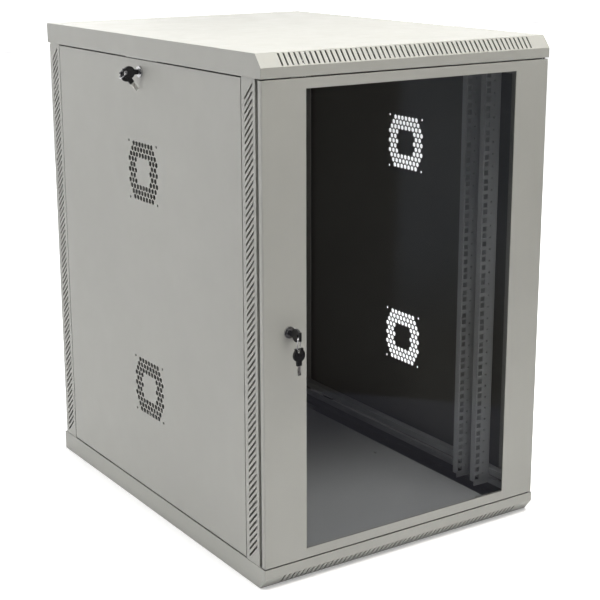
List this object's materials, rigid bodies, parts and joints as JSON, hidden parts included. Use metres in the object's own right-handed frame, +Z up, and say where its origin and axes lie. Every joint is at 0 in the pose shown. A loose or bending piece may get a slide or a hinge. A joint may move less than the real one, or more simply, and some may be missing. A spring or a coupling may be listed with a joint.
{
  "type": "network server rack cabinet",
  "caption": "Free-standing sheet steel equipment cabinet for nineteen inch gear: tinted glass door with keyed lock, vented trays and pillars, pull-off side panels with fan grilles.",
  "frame": {"origin": "centre of the base tray's footprint, on the floor under the base", "axes": "+X to the right when facing the door (hinge side), -Y out through the door, +Y to the rear panel, +Z up"},
  "size_m": [0.6408, 0.8385, 0.9],
  "materials": {
    "grey_paint": "light warm grey fine-texture powder coat",
    "inner_paint": "grey powder coat, slightly darker than the outside",
    "zinc": "zinc-plated, satin",
    "tinted_glass": "dark grey tinted, polished",
    "black_seal": "matt black foam tape",
    "chrome": "bright plated",
    "key_plastic": "black moulded key head"
  },
  "bodies": {
    "cabinet": {"base_tray": "grey_paint", "foot_plates": "zinc", "floor_panel": "grey_paint", "floor_screws": "zinc", "top_cover": "grey_paint", "panel_catches": "zinc", "pillar_front_left": "grey_paint", "pillar_front_right": "grey_paint", "pillar_rear_left": "grey_paint", "pillar_rear_right": "grey_paint", "beam_lower_left": "inner_paint", "beam_lower_right": "inner_paint", "beam_upper_left": "inner_paint", "beam_upper_right": "inner_paint", "frame_bolts": "zinc"},
    "roof_cable_cover": {"cable_cover": "grey_paint", "cable_cover_screws": "zinc"},
    "front_left_rail": {"rail_front_left": "inner_paint", "bolts_front_left": "zinc"},
    "front_right_rail": {"rail_front_right": "inner_paint", "bolts_front_right": "zinc"},
    "rear_left_rail": {"rail_rear_left": "inner_paint", "bolts_rear_left": "zinc"},
    "rear_right_rail": {"rail_rear_right": "inner_paint", "bolts_rear_right": "zinc"},
    "rear_cover": {"rear_panel": "grey_paint", "rear_panel_screws": "zinc"},
    "left_side": {"left_panel": "grey_paint", "left_lock_housing": "chrome", "left_lock_nut": "zinc"},
    "left_lock": {"left_lock_plug": "chrome", "left_lock_cam": "zinc"},
    "left_key": {"left_key_bow": "key_plastic", "left_key_blade": "chrome"},
    "left_hanging_key": {"left_key_ring": "chrome", "left_spare_bow": "key_plastic", "left_spare_blade": "chrome"},
    "right_side": {"right_panel": "grey_paint", "right_lock_housing": "chrome", "right_lock_nut": "zinc"},
    "right_lock": {"right_lock_plug": "chrome", "right_lock_cam": "zinc"},
    "door": {"door_frame": "grey_paint", "door_seal": "black_seal", "door_glass": "tinted_glass", "hinge_blocks": "zinc", "hinge_pins": "chrome", "door_lock_housing": "chrome", "door_lock_nut": "zinc"},
    "door_lock": {"door_lock_plug": "chrome", "door_lock_cam": "zinc"},
    "door_key": {"door_key_bow": "key_plastic", "door_key_blade": "chrome"},
    "door_hanging_key": {"door_key_ring": "chrome", "door_spare_bow": "key_plastic", "door_spare_blade": "chrome"}
  },
  "joints": [
    {"name": "door_hinge", "type": "hinge", "parent": "cabinet", "child": "door", "pos_m": [0.29, -0.3948, 0.45], "axis": [0, 0, 1], "range_deg": [0, 180]},
    {"name": "door_lock_turn", "type": "hinge", "parent": "door", "child": "door_lock", "pos_m": [-0.25, -0.4, 0.449], "axis": [0, 1, 0], "range_deg": [0, 90]},
    {"name": "door_key_pull", "type": "slide", "parent": "door_lock", "child": "door_key", "axis": [0, -1, 0], "range_m": [0, 0.03]},
    {"name": "door_hanging_key_swing", "type": "hinge", "parent": "door_key", "child": "door_hanging_key", "pos_m": [-0.25, -0.429, 0.449], "axis": [1, 0, 0], "range_deg": [-60, 15]},
    {"name": "left_panel_off", "type": "slide", "parent": "cabinet", "child": "left_side", "axis": [-1, 0, 0], "range_m": [0, 0.3]},
    {"name": "left_lock_turn", "type": "hinge", "parent": "left_side", "child": "left_lock", "pos_m": [-0.299, 0.004, 0.838], "axis": [-1, 0, 0], "range_deg": [0, 90]},
    {"name": "left_key_pull", "type": "slide", "parent": "left_lock", "child": "left_key", "axis": [-1, 0, 0], "range_m": [0, 0.03]},
    {"name": "left_hanging_key_swing", "type": "hinge", "parent": "left_key", "child": "left_hanging_key", "pos_m": [-0.328, 0.004, 0.838], "axis": [0, 1, 0], "range_deg": [0, 60]},
    {"name": "right_panel_off", "type": "slide", "parent": "cabinet", "child": "right_side", "axis": [1, 0, 0], "range_m": [0, 0.3]},
    {"name": "right_lock_turn", "type": "hinge", "parent": "right_side", "child": "right_lock", "pos_m": [0.299, 0.004, 0.838], "axis": [-1, 0, 0], "range_deg": [0, 90]},
    {"name": "rear_panel_off", "type": "slide", "parent": "cabinet", "child": "rear_cover", "axis": [0, 1, 0], "range_m": [0, 0.3]},
    {"name": "cable_cover_off", "type": "slide", "parent": "cabinet", "child": "roof_cable_cover", "axis": [0, 0, -1], "range_m": [0, 0.15]},
    {"name": "front_left_rail_adjust", "type": "slide", "parent": "cabinet", "child": "front_left_rail", "axis": [0, 1, 0], "range_m": [-0.035, 0.008]},
    {"name": "front_right_rail_adjust", "type": "slide", "parent": "cabinet", "child": "front_right_rail", "axis": [0, 1, 0], "range_m": [-0.035, 0.008]},
    {"name": "rear_left_rail_adjust", "type": "slide", "parent": "cabinet", "child": "rear_left_rail", "axis": [0, 1, 0], "range_m": [0, 0.6]},
    {"name": "rear_right_rail_adjust", "type": "slide", "parent": "cabinet", "child": "rear_right_rail", "axis": [0, 1, 0], "range_m": [0, 0.6]}
  ]
}
